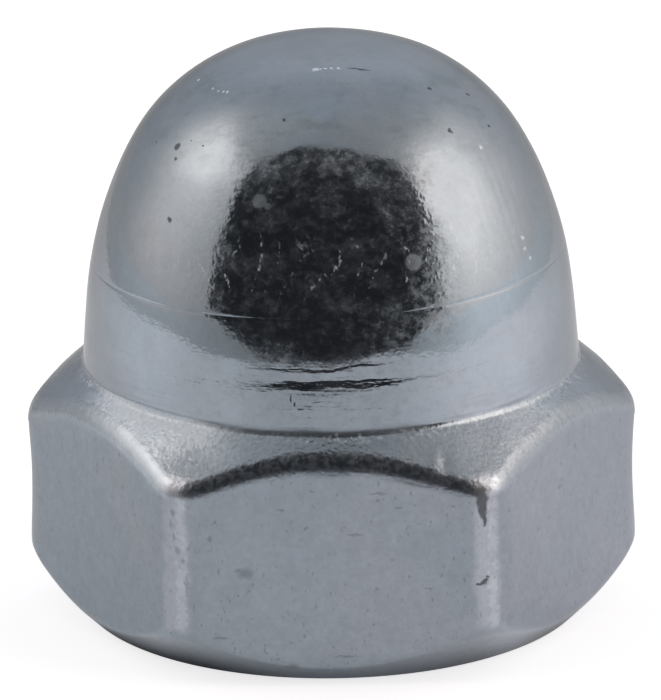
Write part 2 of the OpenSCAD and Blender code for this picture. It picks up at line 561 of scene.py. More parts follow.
def knock_depth(points):
    """Depth of three knocks: a leaning nick in the edge above the front flat, the ridge that it
    raised beside it, and a gouge on the right front corner."""
    leaning = points + (points[..., 2:] - 7.0) * np.array([0.1, 0.0, 0.4])
    nick = dent(leaning, (3.46, -8.0, 6.9), (0.17, 9.0, 0.3))
    ridge = dent(leaning, (3.2, -8.0, 7.0), (0.08, 9.0, 0.45))
    in_front = points[..., 1] < -6.0
    gouge = dent(points, (4.59, -8.25, 3.27), (0.2, 0.6, 0.11))
    return in_front * (0.045 * nick - 0.035 * ridge) + 0.05 * gouge


def worn(points, normals, grain, sizes, mesh_settings):
    """The outside after forging, plating and handling: slow waves everywhere but on the bearing
    ring, a coarser grain on the top chamfer, the groove of the parting line, and the knocks."""
    loose = smooth_step(points[..., 2], 0.02, 0.8)
    slow = 0.6 * waves(points, 5.0, seed=11) + 0.3 * waves(points, 2.2, seed=12)
    push = mesh_settings.unevenness * loose * (np.minimum(slow - 0.9, 0) - 0.04)
    rough = waves(points, 1.9, seed=13)
    push = push + mesh_settings.chamfer_grain * grain[:, None] * (rough - 1.0)
    push = push - seam_depth(points, sizes) - knock_depth(points)
    return points + normals * push[..., None]


def nut_mesh(sizes, mesh_settings):
    """The whole nut as one closed surface."""
    turn = column_angles(mesh_settings.columns_per_corner)
    above, block, rows_per_turn = hole_rows(sizes, turn - turn[0])
    outside, grain, flats = outside_rows(sizes, turn)
    inner = place(np.concatenate([above, block]), turn)
    outer = place(outside, turn)
    outer = worn(outer, grid_normals(outer), grain, sizes, mesh_settings)
    points = np.concatenate([inner, outer])
    quads = closed_faces(len(points), len(turn), len(above), len(inner) - 1, rows_per_turn)
    # The two poles lie a hair beyond the rings that they close
    crown = np.array([[0, 0, outer[-1, :, 2].mean() + 0.0002]])
    tip = np.array([[0, 0, inner[0, 0, 2] + 0.01]])
    zones = np.zeros((*points.shape[:2], 3))
    zones[len(inner):, :, 0] = grain[:, None]
    zones[len(inner):, :, 1] = flats[:, None]
    zones[:len(inner), :, 2] = 1.0
    corners = np.zeros_like(zones)
    corners[..., 0], corners[..., 1] = land_share(turn, mesh_settings.land_turn)
    poles = [(tip, 0, False), (crown, len(points) - 1, True)]
    return mesh_from(NODE + "_finish", points, quads, poles, {"zone": zones, "corner": corners})


# ---------------------------------------------------------------- shader maths


class Value:
    """One shader socket. Python arithmetic on it adds Math nodes."""

    def __init__(self, graph, socket):
        self.graph, self.socket = graph, socket

    def math(self, operation, *others):
        """A Math node of this value and the others."""
        operands = dict(enumerate((self, *others)))
        return self.graph.node("ShaderNodeMath", {"operation": operation}, operands)

    def __add__(self, other):
        return self.math("ADD", other)

    __radd__ = __add__

    def __mul__(self, other):
        return self.math("MULTIPLY", other)

    __rmul__ = __mul__

    def __sub__(self, other):
        return self.math("SUBTRACT", other)

    def __rsub__(self, other):
        return -self + other

    def __truediv__(self, other):
        return self.math("DIVIDE", other)

    def __pow__(self, other):
        return self.math("POWER", other)

    def __neg__(self):
        return self * -1.0

    def __abs__(self):
        return self.math("ABSOLUTE")

    def least(self, other):
        """The smaller of two values."""
        return self.math("MINIMUM", other)

    def most(self, other):
        """The larger of two values."""
        return self.math("MAXIMUM", other)

    def step(self, low, high):
        """0 below low and 1 above high, smoothly."""
        return self.graph.node(
            "ShaderNodeMapRange",
            {"interpolation_type": "SMOOTHSTEP"},
            {"Value": self, "From Min": low, "From Max": high, "To Min": 0.0, "To Max": 1.0},
        )

    def fall(self, centre, below, above, power=2.0):
        """1 at the centre, and exp(-(distance / width) to the power) on either side of it, with
        its own width below and above."""
        off = self - centre
        if below == above:
            reach = abs(off) / above
        else:
            reach = (off / above).most(off / -below)
        return (-(reach ** power)).math("EXPONENT")

    def hills(self, *rows):
        """A sum of such curves, each with its height, its centre and its two widths."""
        first, *others = (height * self.fall(*place) for height, *place in rows)
        return sum(others, first)


class Graph:
    """A node tree that is filled by expressions."""

    def __init__(self, tree):
        self.tree = tree
        tree.nodes.clear()

    def node(self, kind, settings=None, inputs=None, output=0):
        """Adds a node. Its settings come first, then the values or links of its sockets."""
        made = self.tree.nodes.new(kind)
        for name, value in (settings or {}).items():
            setattr(made, name, value)
        for name, value in (inputs or {}).items():
            socket = made.inputs[name]
            if isinstance(value, Value):
                self.tree.links.new(value.socket, socket)
            elif socket.type == "RGBA":
                socket.default_value = (*value, 1.0)[:4]
            else:
                socket.default_value = value
        return Value(self, made.outputs[output]) if made.outputs else None

    def other(self, value, output):
        """Another output of the node that a value comes from."""
        return Value(self, value.socket.node.outputs[output])

    def noise(self, place, scale, detail=2.0, rough=0.5, stretch=None):
        """Noise round 0.5 at a place in millimetres, with this many waves to the millimetre, times
        the three numbers of stretch along the axes."""
        if stretch:
            place = self.vectors("MULTIPLY", place, stretch)
        inputs = {"Vector": place, "Scale": scale, "Detail": detail, "Roughness": rough}
        return self.node("ShaderNodeTexNoise", {}, inputs)

    def stored(self, name):
        """Three numbers that the mesh stores on its points."""
        return self.node("ShaderNodeAttribute", {"attribute_name": name}, {}, output="Vector")

    def vectors(self, operation, first, second, output=0):
        """A Vector Math node."""
        return self.node("ShaderNodeVectorMath", {"operation": operation}, {0: first, 1: second}, output)

    def scaled(self, vector, factor):
        """A vector times one number."""
        return self.node("ShaderNodeVectorMath", {"operation": "SCALE"}, {0: vector, "Scale": factor})

    def mix(self, share, first, second):
        """A colour between two colours."""
        inputs = {0: share, 6: first, 7: second}
        return self.node("ShaderNodeMix", {"data_type": "RGBA"}, inputs, output=2)

    def glow(self, colour):
        """A shader that gives off light of this colour."""
        return self.node("ShaderNodeEmission", {}, {"Color": colour, "Strength": 1.0})

    def both(self, first, second):
        """Two shaders added together."""
        return self.node("ShaderNodeAddShader", {}, {0: first, 1: second})

    def either(self, share, first, second):
        """The first shader where share is 0, and the second where it is 1."""
        return self.node("ShaderNodeMixShader", {}, {0: share, 1: first, 2: second})

    def vector(self, x, y, z):
        """A vector from three values."""
        return self.node("ShaderNodeCombineXYZ", {}, {0: x, 1: y, 2: z})

    def parts(self, vector):
        """The three numbers of a vector."""
        x = self.node("ShaderNodeSeparateXYZ", {}, {0: vector})
        return x, self.other(x, 1), self.other(x, 2)

    def marks(self, place, spots, soft=0.35):
        """1 inside any of the given ellipsoids, each a centre and three radii, and 0 away from
        them. The distance to each is measured in its own radii, and the least one counts."""
        nearest = None
        for centre, radii in spots:
            inverse = tuple(1 / r for r in radii)
            offset = tuple(-c / r for c, r in zip(centre, radii))
            inputs = {0: place, 1: inverse, 2: offset}
            scaled = self.node("ShaderNodeVectorMath", {"operation": "MULTIPLY_ADD"}, inputs)
            away = self.vectors("LENGTH", scaled, (0.0, 0.0, 0.0), output="Value")
            nearest = away if nearest is None else nearest.least(away)
        return 1 - nearest.step(1 - soft, 1 + soft)

    def millimetres(self):
        """Object coordinates in millimetres."""
        return self.scaled(self.other(self.node("ShaderNodeTexCoord"), "Object"), 1 / MM)


# ---------------------------------------------------------------- marks


def spot(x, y, z, *radii):
    """A spot at a place on the nut, with its three radii, all in millimetres."""
    return (x, y, z), radii


def on_flat(x, z, width, height):
    """A spot on the front flat: its place, and its radii across and up."""
    return spot(x, FRONT_FLAT, z, width, 0.1, height)


def on_cap(turn, height, *radii):
    """A spot on the cap: its turn from the front in degrees, its height, and either one radius or
    three."""
    _, radius, heights = cap_outline(bpy.context.scene.capnut_sizes)
    r = float(np.interp(height, heights, radius))
    t = math.radians(turn)
    radii = radii * 3 if len(radii) == 1 else radii
    return spot(r * math.sin(t), -r * math.cos(t), height, *radii)


def pit_spots():
    """Pits and dark nicks on the front half of the cap and on the right front corner."""
    cap = [
        (-54.8, 15.65, 0.13), (-52.6, 15.35, 0.08), (-66.6, 15.5, 0.05), (-46.4, 13.74, 0.09),
        (-16.7, 16.77, 0.06), (53.0, 17.16, 0.08), (70.7, 16.7, 0.06), (46.3, 16.15, 0.07),
        (66.0, 15.88, 0.06), (-16.3, 15.5, 0.09), (-50.0, 15.9, 0.04), (-44.0, 15.85, 0.05),
        (24.0, 17.77, 0.34, 0.05, 0.3), (-8.9, 8.95, 0.025, 0.2, 0.12),
        (-7.9, 8.76, 0.03, 0.2, 0.08), (-6.6, 8.62, 0.09, 0.2, 0.025),
        (-3.0, 8.83, 0.09, 0.2, 0.02),
    ]
    corner = [
        (4.5, -8.3, 6.17, 0.25, 0.7, 0.15), (4.57, -8.3, 5.9, 0.18, 0.7, 0.3),
        (4.6, -8.3, 5.62, 0.13, 0.7, 0.3), (4.63, -8.3, 5.28, 0.06, 0.7, 0.25),
        (4.46, -8.25, 3.19, 0.09, 0.3, 0.05), (4.56, -8.25, 3.21, 0.1, 0.3, 0.06),
        (4.65, -8.25, 3.28, 0.08, 0.3, 0.055), (4.73, -8.25, 3.37, 0.06, 0.3, 0.045),
    ]
    return [on_cap(*mark) for mark in cap] + [spot(*mark) for mark in corner]


def haze_spots():
    """Places on the cap where the film over the plating is thickest."""
    cap = [
        (-22.0, 15.7, 0.85), (-28.5, 13.3, 0.4, 0.6, 1.3), (28.5, 13.5, 0.45, 0.6, 1.5),
        (26.0, 15.1, 0.6, 0.6, 0.7), (13.0, 15.2, 0.6, 0.6, 0.3), (5.0, 15.9, 1.0, 0.6, 0.35),
        (16.5, 14.2, 0.16, 0.6, 0.4), (14.0, 11.0, 0.6), (-28.0, 11.6, 0.35, 0.6, 0.9),
        (25.0, 11.5, 0.6, 0.6, 0.7), (-12.0, 10.4, 0.7, 0.6, 0.4),
    ]
    return [on_cap(*mark) for mark in cap]


def rub_spots():
    """Faint grey marks on the front flat, on its left corner and on the flats beside it."""
    front = [
        (-2.8, 3.78, 0.14, 0.06), (-1.5, 5.67, 0.12, 0.05), (0.75, 4.88, 0.22, 0.03),
        (2.94, 3.14, 0.12, 0.03), (2.05, 5.73, 0.1, 0.03), (3.69, 5.78, 0.08, 0.03),
        (-3.7, 4.8, 0.07, 0.08), (-1.68, 0.9, 0.05, 0.05), (-3.4, 1.6, 0.2, 0.04),
        (0.4, 0.95, 0.3, 0.04), (1.4, 6.2, 0.25, 0.04),
    ]
    elsewhere = [
        (-2.62, -8.5, 3.68, 0.2, 0.12, 0.14), (-1.24, -8.4, 0.62, 0.18, 0.2, 0.12),
        (-6.47, -5.78, 6.6, 0.05, 0.08, 0.07), (-7.2, -4.5, 5.67, 0.05, 0.06, 0.07),
        (-7.0, -4.87, 6.1, 0.04, 0.06, 0.1), (-6.4, -5.9, 5.6, 0.05, 0.06, 0.05),
        (-6.05, -6.5, 5.24, 0.04, 0.06, 0.1), (7.52, -3.97, 6.1, 0.05, 0.06, 0.06),
        (7.03, -4.83, 5.05, 0.1, 0.15, 0.04), (-4.8, -8.2, 5.56, 0.05, 0.1, 0.1),
        (-4.84, -8.14, 5.16, 0.04, 0.1, 0.13), (-4.76, -8.15, 4.74, 0.05, 0.1, 0.1),
        (-4.66, -8.2, 4.35, 0.07, 0.1, 0.12), (-4.52, -8.28, 4.02, 0.06, 0.1, 0.08),
        (-4.41, -8.36, 3.3, 0.05, 0.1, 0.3),
    ]
    return [on_flat(*mark) for mark in front] + [spot(*mark) for mark in elsewhere]


def stain_spots():
    """Pale matt spots on the front of the cap."""
    return [on_cap(-19.2, 14.68, 0.25), on_cap(-16.6, 14.55, 0.12), on_cap(21.7, 12.88, 0.28)]


def painted_highlight_spots():
    """Places by the front corners where the plating is painted bright: a painted highlight."""
    corners = [
        (-6.2, -5.8, 7.1, 0.35, 0.6, 0.3), (-5.75, -6.6, 6.85, 0.35, 0.5, 0.3),
        (-5.4, -7.15, 6.6, 0.3, 0.5, 0.3), (-5.05, -7.75, 6.35, 0.25, 0.4, 0.22),
        (-5.1, -6.3, 7.55, 0.8, 0.7, 0.25), (-6.5, -4.7, 7.6, 0.6, 0.9, 0.2),
        (5.0, -7.95, 6.3, 0.18, 0.4, 0.18),
    ]
    return [spot(*mark) for mark in corners]


def scuff_spots():
    """Small bright scuffs where the plating is rubbed through, on the front of the cap."""
    cap = [
        (-8.0, 17.79, 0.1), (-4.0, 17.8, 0.05), (-1.0, 17.8, 0.04), (4.0, 17.81, 0.06),
        (9.0, 17.8, 0.05), (-50.5, 17.14, 0.06), (-56.0, 17.12, 0.04), (-53.3, 17.13, 0.04),
        (-60.5, 17.11, 0.04), (-77.0, 17.07, 0.05), (55.2, 15.52, 0.07), (57.8, 12.77, 0.06),
        (57.3, 12.45, 0.05), (58.9, 12.12, 0.06),
    ]
    return [on_cap(*mark) for mark in cap]


# ---------------------------------------------------------------- plating


class Skin:
    """What the plating's patterns are made of: the place in millimetres, the turn from the front
    in radians, what the mesh stores on its points, and the noises that several patterns share.
    The mesh stores how grainy the surface is, whether it belongs to the flats or the hole, and
    the corner lands. What is neither flats nor hole above the chamfer is the cap."""

    def __init__(self, g):
        at = g.millimetres()
        self.at = at
        self.x, self.y, self.z = g.parts(at)
        self.turn = self.x.math("ARCTAN2", -self.y)
        self.grain, self.flats, self.hole = g.parts(g.stored("zone"))
        self.corner, self.across, _ = g.parts(g.stored("corner"))
        self.cap = self.z.step(7.8, 7.95) * (1 - self.hole)
        self.edge = self.flats * self.grain
        self.chamfer = self.grain * (1 - self.flats)
        self.in_front = 0.12 + 0.88 * self.turn.fall(0.0, 0.57, 0.57, 8.0)

        self.jitter = g.noise(at, 5.0, 1.0)
        self.blotch = g.noise(at, 1.1, 3.0, 0.7)
        self.wander = g.noise(at, 1.9, 2.0, 0.6)
        self.broken = g.noise(at, 9.5, 1.0, stretch=(1.0, 1.0, 0.55))
        self.froth = g.noise(at, 6.5, 1.0)
        self.clouds = g.noise(at, 1.4, 4.0, 0.72, stretch=(1.0, 1.0, 1.3))
        self.specks = g.noise(at, 4.2, 3.0, 0.72)
        # The place, shaken a little so that marks have ragged edges
        shaken = g.vectors("ADD", at, g.scaled(g.other(self.jitter, "Color"), 2 * SHAKE))
        self.at_marks = g.vectors("ADD", shaken, (-SHAKE, -SHAKE, -SHAKE))


def worn_and_highlit_lands(s):
    """Where the corner lands are worn, in ragged patches, and a bright ridge along them. The colour paints
    both lighter, partly as wear and partly as a painted highlight.
    """
    land = (s.corner * 0.9 + (s.blotch - 0.5) * 1.6).step(0.15, 0.75)
    land = land * s.corner.step(0.0, 0.3) * s.flats * s.z.step(1.5, 1.9)
    line = 1 - abs(s.across + (s.jitter - 0.5) * 0.3 - 0.64).step(0.07, 0.14)
    ridge = line * (s.blotch + s.jitter * 0.4).step(0.56, 0.72) * land
    return land, ridge


def scuff_chains(g, s):
    """A band of small scuffs round the dome, in wavering chains that run up and down."""
    wavering = (g.noise(s.at, 0.8, 0.0) - 0.5) * 4.5
    chain = (s.turn * (CHAINS / math.pi) + wavering).math("PINGPONG", 1.0)
    flecks = (1 - chain.step(0.05, 0.25)) * s.broken.step(0.52, 0.65)
    flecks = flecks * s.z.fall(12.85, 0.85, 0.85, 4.0) * s.in_front
    return flecks * (0.45 + s.blotch.step(0.38, 0.6) * 0.4)


def frost_and_highlight(s):
    """Pale specks on the top chamfer below the cap, and a painted highlight: nearly whole beside the left
    corner, and in a band along the edge beside it."""
    beside = s.turn.fall(-0.78, 0.36, 0.36)
    ragged = s.z + (s.froth - 0.5) * 0.7 + (s.blotch - 0.5) * 0.9
    # The painted highlight beside the left corner, and along the edge there
    whole = beside.step(0.1, 0.8) * ragged.step(6.9, 7.65)
    whole = whole * (0.66 + s.froth.step(0.36, 0.6) * 0.28)
    highlight_strip = s.edge.step(0.3, 0.7) * beside.step(0.3, 0.9) * s.y.step(-8.2, -7.6) * 0.4
    specks = s.froth.step(0.53, 0.63) * s.blotch.step(0.36, 0.56)
    specks = specks * s.z.step(7.56, 7.74) * (0.5 - s.turn.step(0.4, 0.8) * 0.2)
    below_cap = 1 - s.z.step(7.87 + beside * 0.1, 7.92 + beside * 0.1)
    return (specks.most(whole) * below_cap * (1 - s.flats) * (1 - s.hole)).most(highlight_strip)


def plating_film(g, s):
    """A thin uneven film over the plating, thicker in clouds, near the crown and in a stripe on
    the right of the dome."""
    haze = g.marks(s.at_marks, haze_spots(), 0.9)
    film = s.clouds.step(0.38, 0.66) * 0.48 + s.specks.step(0.44, 0.66) * (0.34 + haze * 0.35)
    stripe = s.turn.fall(0.45, 0.12, 0.12) * s.z.step(9.9, 10.7) * (1 - s.z.step(13.4, 14.8))
    film = film + haze * 0.36 + s.z.step(14.0, 15.8) * 0.24
    film = film + stripe * (0.2 + s.specks.step(0.4, 0.6) * 0.5)
    return film * (0.45 + s.in_front * 0.6)


def clean_colour(g, s, finish):
    """The plating's colour before rubbed marks, stains and painted shade: its main colour with a violet and
    a greenish tinge, times a shade that is uneven and brighter where the plating is worn. The corner lands
    are lighter, partly as wear and partly as a painted highlight; by the front corners there is a painted
    highlight, and the crown and the right of the top chamfer are painted lighter."""
    land, ridge = worn_and_highlit_lands(s)
    # The painted highlight by the front corners, broken into ragged patches
    rubbed = (s.jitter * 0.4 + s.blotch + s.edge).step(0.5, 0.85)
    painted_highlight = g.marks(s.at_marks, painted_highlight_spots(), 0.5) * rubbed
    tinge = (g.noise(s.at, 0.3, 2.0).step(0.45, 0.62) * 0.4).most(land)
    smear = g.noise(s.at, 0.9, 3.0, 0.72, stretch=(0.6, 1.0, 1.4))
    green = smear.step(0.48, 0.68) * s.z.step(14.6, 16.2) * (0.8 - s.z.step(16.9, 17.7) * 0.45)
    colour = g.mix(tinge, finish.plating, finish.violet)
    colour = g.mix(green, colour, finish.green)

    tone = g.noise(s.at, 1.5, 3.0, 0.85)
    shade = 1 + (tone - 0.5) * 0.24 + (s.specks - 0.5) * (0.1 + s.flats * 0.2)
    # Lands and ridge lighter, partly as wear and partly as a painted highlight; the painted highlight by
    # the front corners
    shade = shade + land * 0.08 + ridge * 0.16 + s.grain * 0.1 + painted_highlight * (0.2 + s.edge * 0.15)
    # Painted light: the crown is painted lighter, and so is the top chamfer on the right
    shade = shade + s.z.step(17.0, 17.8) * 0.15 + s.chamfer * s.turn.fall(0.8, 0.3, 0.3) * 0.1
    return g.scaled(colour, shade)


def dirt_and_shade(s, pits, rubs):
    """How much of the dark colour shows: in pits and rubbed marks, in fine hairs on the flats, in dots
    everywhere, in dark specks on the top chamfer, and as painted shade on the front of the top chamfer."""
    hairs = (1 - abs(s.wander - 0.5).step(0.004, 0.012)) * s.clouds.step(0.52, 0.6) * s.flats
    dots = (1 - s.broken.step(0.25, 0.33)) * (0.08 + s.flats * 0.2)
    # Dark specks on the top chamfer, and painted shade darkening its front
    front_shade_and_specks = (1 - s.froth.step(0.34, 0.5)) * 0.1 + s.turn.fall(0.0, 0.35, 0.35) * 0.13
    dark = (pits * 0.75).most(rubs * 0.34).most(hairs * 0.15)
    return dark.most(dots).most(s.chamfer * front_shade_and_specks)


def relief(g, s):
    """The fine relief in millimetres. The cap has a ripple like an orange's peel, rings round it,
    lines up and down where it was drawn, and soft steps round the wall. The top chamfer has
    grit, and the flats a weaker ripple."""
    wall = 1 - s.z.step(9.6, 10.3)
    ripple = (g.noise(s.at, 2.8, 2.0, 0.75) - 0.5) * 0.0034
    # The ripple is stronger at both sides of the front, most of all on the right
    front_sides = abs(s.turn).fall(0.5, 0.13, 0.13) * s.z.fall(13.0, 2.5, 2.5)
    cap = ripple * (1 + (1.6 + s.x.step(-1.0, 1.0) * 0.6) * front_sides)

    rings = (g.noise(s.at, 1.0, 0.0, stretch=(0.5, 0.5, 9.0)) - 0.5) * 0.0006
    radius = (s.x * s.x + s.y * s.y).math("SQRT")
    unrolled = g.vector(s.x / radius * DRAWN_RADIUS, s.y / radius * DRAWN_RADIUS, s.z * 0.12)
    drawn = s.turn.fall(0.92, 0.24, 0.24) + s.turn.fall(-2.5, 0.5, 0.5)
    lines = (g.noise(unrolled, 3.0, 0.0) - 0.5) * 0.008 * drawn * s.z.fall(13.2, 2.2, 2.2, 4.0)

    streaks = g.noise(s.at, 1.0, 4.0, 0.55, stretch=(0.5, 0.5, 2.6))
    tilted = s.z - s.x * math.tan(bpy.context.scene.capnut_sizes.seam_tilt)
    level = tilted + (s.wander - 0.5) * 0.2 + (streaks - 0.5) * 0.4
    deep = 0.0055 + 0.0115 * s.turn.fall(0.0, 0.26, 0.26)
    steps = (level.step(8.0, 9.15) - level.step(9.22, 9.5)) * deep
    narrow = 0.0038 * s.turn.fall(-0.02, 0.26, 0.26, 4.0)
    steps = steps + (level.step(9.5, 9.78) - level.step(9.8, 9.92)) * narrow
    cap = cap + rings * (1 + wall * 3.0) + lines + steps + (streaks - 0.5) * 0.003 * wall

    grit = (g.noise(s.at, 3.2, 2.0, 0.6) - 0.5) * (0.011 + s.flats * 0.018)
    grit = grit + (g.noise(s.at, 9.0, 0.0) - 0.5) * 0.006
    calm = 1 - s.flats * s.x.fall(-5.6, 0.9, 0.9) * 0.6
    return cap * s.cap + grit * s.grain * calm + ripple * 0.3 * s.flats


def plated_steel(finish):
    """Bright zinc plating over forged steel. Scuffs, the pale specks and painted highlight on the top
    chamfer, dust, pale spots and the film are less metallic than the clean plating, and most of them
    rougher. Its colour also carries painted highlights and painted shade."""
    material = bpy.data.materials.new("plated_steel_finish")
    material.use_nodes = True
    g = Graph(material.node_tree)
    s = Skin(g)
    pits = g.marks(s.at_marks, pit_spots())
    rubs = g.marks(s.at_marks, rub_spots(), 0.8)
    stains = g.marks(s.at, stain_spots(), 0.4) * (0.6 + s.jitter * 0.8)
    scuffs_and_highlight = g.marks(s.at_marks, scuff_spots()).most(scuff_chains(g, s)) * s.cap
    # The pale specks and the painted highlight on the top chamfer join these marks
    scuffs_and_highlight = scuffs_and_highlight.most(frost_and_highlight(s))
    film = plating_film(g, s)
    colour = g.mix(scuffs_and_highlight, clean_colour(g, s, finish), finish.scuffed_and_highlight)
    # Dark marks, and the painted shade on the front of the top chamfer
    colour = g.mix(dirt_and_shade(s, pits, rubs), colour, finish.stain_and_shade)

    from_foot = abs(s.z - FOOT_MIDDLE)
    left = 1 - s.turn.step(0.25, 0.5)
    gloss = s.cap * finish.cap_gloss + s.flats * finish.flat_gloss + s.chamfer * finish.chamfer_gloss
    gloss = gloss + s.hole * 0.35 + s.cap * film * 0.05
    gloss = gloss + (1 - from_foot.step(0.05, 0.2)) * left * 0.25
    gloss = gloss.most(pits * 0.5).most(stains * 0.4).most(scuffs_and_highlight * 0.5)

    dust = s.edge * (s.froth * 0.5 + s.specks * 0.5).step(0.42, 0.62) * 0.36
    dust = dust.most(s.chamfer * s.broken.step(0.56, 0.68) * 0.3)
    dust = dust.most((1 - from_foot.step(0.05, 0.16)) * left * 0.18)
    dull = (film * film * 0.42 * s.cap).most(stains * 0.19).most(scuffs_and_highlight * 0.9).most(dust)
    bump = g.node("ShaderNodeBump", {}, {"Strength": 1.0, "Distance": 1.0, "Height": relief(g, s) * MM})
    shader = g.node(
        "ShaderNodeBsdfPrincipled",
        {},
        {"Base Color": colour, "Metallic": 1 - dull, "Roughness": gloss, "Normal": bump},
    )
    g.node("ShaderNodeOutputMaterial", {}, {"Surface": shader})
    return material


# ---------------------------------------------------------------- studio


def walls_and_lamps(turn, ahead, aside, rise):
    """The brightness of the tent's walls and of its two lamps, by direction. turn is the angle
    from the front in degrees, ahead and aside its cosine and sine, and rise the elevation. Each
    lamp is a bright patch with a wide weak glow round it."""
    up = rise.step(-5.0, 60.0)
    walls = 0.432 + up * (0.078 - 0.059 * ahead - 0.029 * aside) + 0.064 * rise.step(60.0, 85.0)
    behind = (-ahead).step(0.75, 1.0)
    walls = walls + behind * (0.08 * rise.fall(38.0, 16.0, 16.0) - 0.09 * (1 - rise.step(2.0, 16.0)))
    left = 0.95 * turn.fall(-91.0, 25.8, 25.8, 2.6) * rise.fall(40.7, 15.7, 11.6, 2.6)
    left = left + 0.7 * turn.fall(-95.0, 33.7, 33.7) * rise.fall(25.0, 33.0, 33.0)
    right = 2.0 * turn.fall(74.9, 23.2, 29.9, 1.6) * rise.fall(37.4, 29.8, 10.5, 1.28)
    right = right + 0.6 * turn.fall(95.0, 46.3, 46.3) * rise.fall(15.0, 36.0, 36.0)
    lamps = (left + right).least(BRIGHTEST - walls)
    return walls, lamps


def opening_mask(turn, rise):
    """1 inside the tent's opening, a rounded arch in front. Its sides are at 57 degrees, and its
    top and base curve towards them, with a few uneven places."""
    side = abs(turn + 1.8) / 57.0 * (1.05 - 0.05 * rise.step(-8.0, 18.0))
    top = 71.8 - 18.0 * side ** 3.0
    top = top + turn.hills((-3.0, 42.0, 14.0, 14.0), (2.5, -46.0, 13.0, 13.0))
    base = -8.0 + 9.5 * side ** 2.4
    base = base + turn.hills((3.0, -38.0, 18.0, 18.0), (3.0, 54.0, 9.0, 9.0))
    inside = (1 - side.step(1.0, 1.03)) * rise.step(base - 0.8, base + 0.8)
    return inside * (1 - rise.step(top - 2.0, top + 2.0))


def floor_in_metal(g, studio, matt, x, y, away):
    """The floor as the metal mirrors it. Its own shading has a glow added, which paints a soft shadow by
    the nut and painted light rising towards the lamps, tinged warm there. It ends where the tent's walls
    and its opening stand on it, as seen from WALL_POINT on the cap's wall."""
    turn = x.math("ARCTAN2", -y) * DEGREES
    wall_radius, wall_height = WALL_POINT
    rise = ((away - wall_radius).most(0.1) / wall_height).math("ARCTANGENT") * DEGREES - 90.0
    walls, lamps = walls_and_lamps(turn, -y / away, x / away, rise)
    back = (y / away).step(0.6, 1.0)
    far = 0.57 - 0.2 * back + turn.hills(
        (0.19, -42.0, 17.0, 17.0), (0.5, -90.0, 36.0, 36.0),
        (0.75, 80.0, 46.0, 46.0), (0.15, 0.0, 26.0, 26.0),
    )
    near = 0.79 + turn.hills(
        (0.03, 0.0, 25.0, 25.0), (0.1, -43.0, 7.0, 7.0), (0.2, 44.0, 8.0, 12.0),
        (0.09, 95.0, 30.0, 30.0), (-0.04, -92.0, 30.0, 30.0),
    )
    # Painted shadow: the floor's glow sinks by the nut's rim
    shadow = 0.44 + turn.hills((-0.08, 0.0, 20.0, 20.0), (0.22, -45.0, 25.0, 25.0))
    contact = (1 - away.step(7.85, 8.7)) * shadow
    near = (near - 0.22 * (y / away).step(0.2, 0.9)) * (1 - contact)
    reach = away.step(26.0, 55.0)
    lift = (near * (1 - reach) + far * reach - OWN_LIGHT).most(0.0)
    # Painted light: the glow takes the lamps' warm tinge towards them
    warm = g.mix(lamps.least(1.0), (1.0, 0.985, 1.0), (1.08, 0.97, 0.95))
    warm = g.mix(turn.fall(85.0, 45.0, 45.0) * (1 - reach), warm, (1.1, 1.0, 1.035))
    warm = g.mix(back, warm, (0.92, 0.96, 1.03))
    lit = g.both(matt, g.glow(g.scaled(warm, lift)))

    opening = opening_mask(turn, rise)
    past = g.glow(g.mix(opening, g.scaled(WHITE, walls + lamps), studio.opening))
    return g.either(rise.step(-6.6, -5.7).most(opening), lit, past)


def studio_floor(studio):
    """A pale matt floor, clear from below and under the nut. The camera sees it lifted to white,
    with the nut's soft shadow on it."""
    material = bpy.data.materials.new("floor_finish")
    material.use_nodes = True
    g = Graph(material.node_tree)
    x, y, _ = g.parts(g.millimetres())
    away = (x * x + y * y).math("SQRT").most(1.0)
    camera_ray = g.node("ShaderNodeLightPath")
    mirrored = g.other(camera_ray, "Is Glossy Ray").most(g.other(camera_ray, "Is Transmission Ray"))
    matt = g.node("ShaderNodeBsdfDiffuse", {}, {"Color": studio.floor})
    seen = g.both(matt, g.glow(g.scaled(FLOOR_LIFT, camera_ray)))
    shader = g.either(mirrored, seen, floor_in_metal(g, studio, matt, x, y, away))
    below = g.other(g.node("ShaderNodeNewGeometry"), "Backfacing")
    clear = below.most(1 - away.step(CLEAR_RADIUS, CLEAR_RADIUS + 0.1))
    shader = g.either(clear, shader, g.node("ShaderNodeBsdfTransparent"))
    g.node("ShaderNodeOutputMaterial", {}, {"Surface": shader})
    return material


def tent_light(studio, world):
    """The tent, by direction. The camera sees plain white instead."""
    world.use_nodes = True
    g = Graph(world.node_tree)
    x, y, z = g.parts(g.other(g.node("ShaderNodeTexCoord"), "Generated"))
    turn = x.math("ARCTAN2", -y) * DEGREES
    rise = z.least(1.0).most(-1.0).math("ARCSINE") * DEGREES
    level = (x * x + y * y).math("SQRT").most(1e-4)
    walls, lamps = walls_and_lamps(turn, -y / level, x / level, rise)
    tent = g.vectors("ADD", g.scaled(studio.tent, walls), g.scaled(studio.lamps, lamps))
    tent = g.vectors("MULTIPLY", tent, g.mix((y / level).step(0.3, 0.9), WHITE, BACK_TINGE))
    tent = g.mix(opening_mask(turn, rise), tent, studio.opening)
    camera_ray = g.node("ShaderNodeLightPath")
    tent = g.node("ShaderNodeBackground", {}, {"Color": tent, "Strength": 1.0})
    white = g.node("ShaderNodeBackground", {}, {"Color": WHITE, "Strength": 1.0})
    g.node("ShaderNodeOutputWorld", {}, {"Surface": g.either(camera_ray, tent, white)})


# ---------------------------------------------------------------- operators


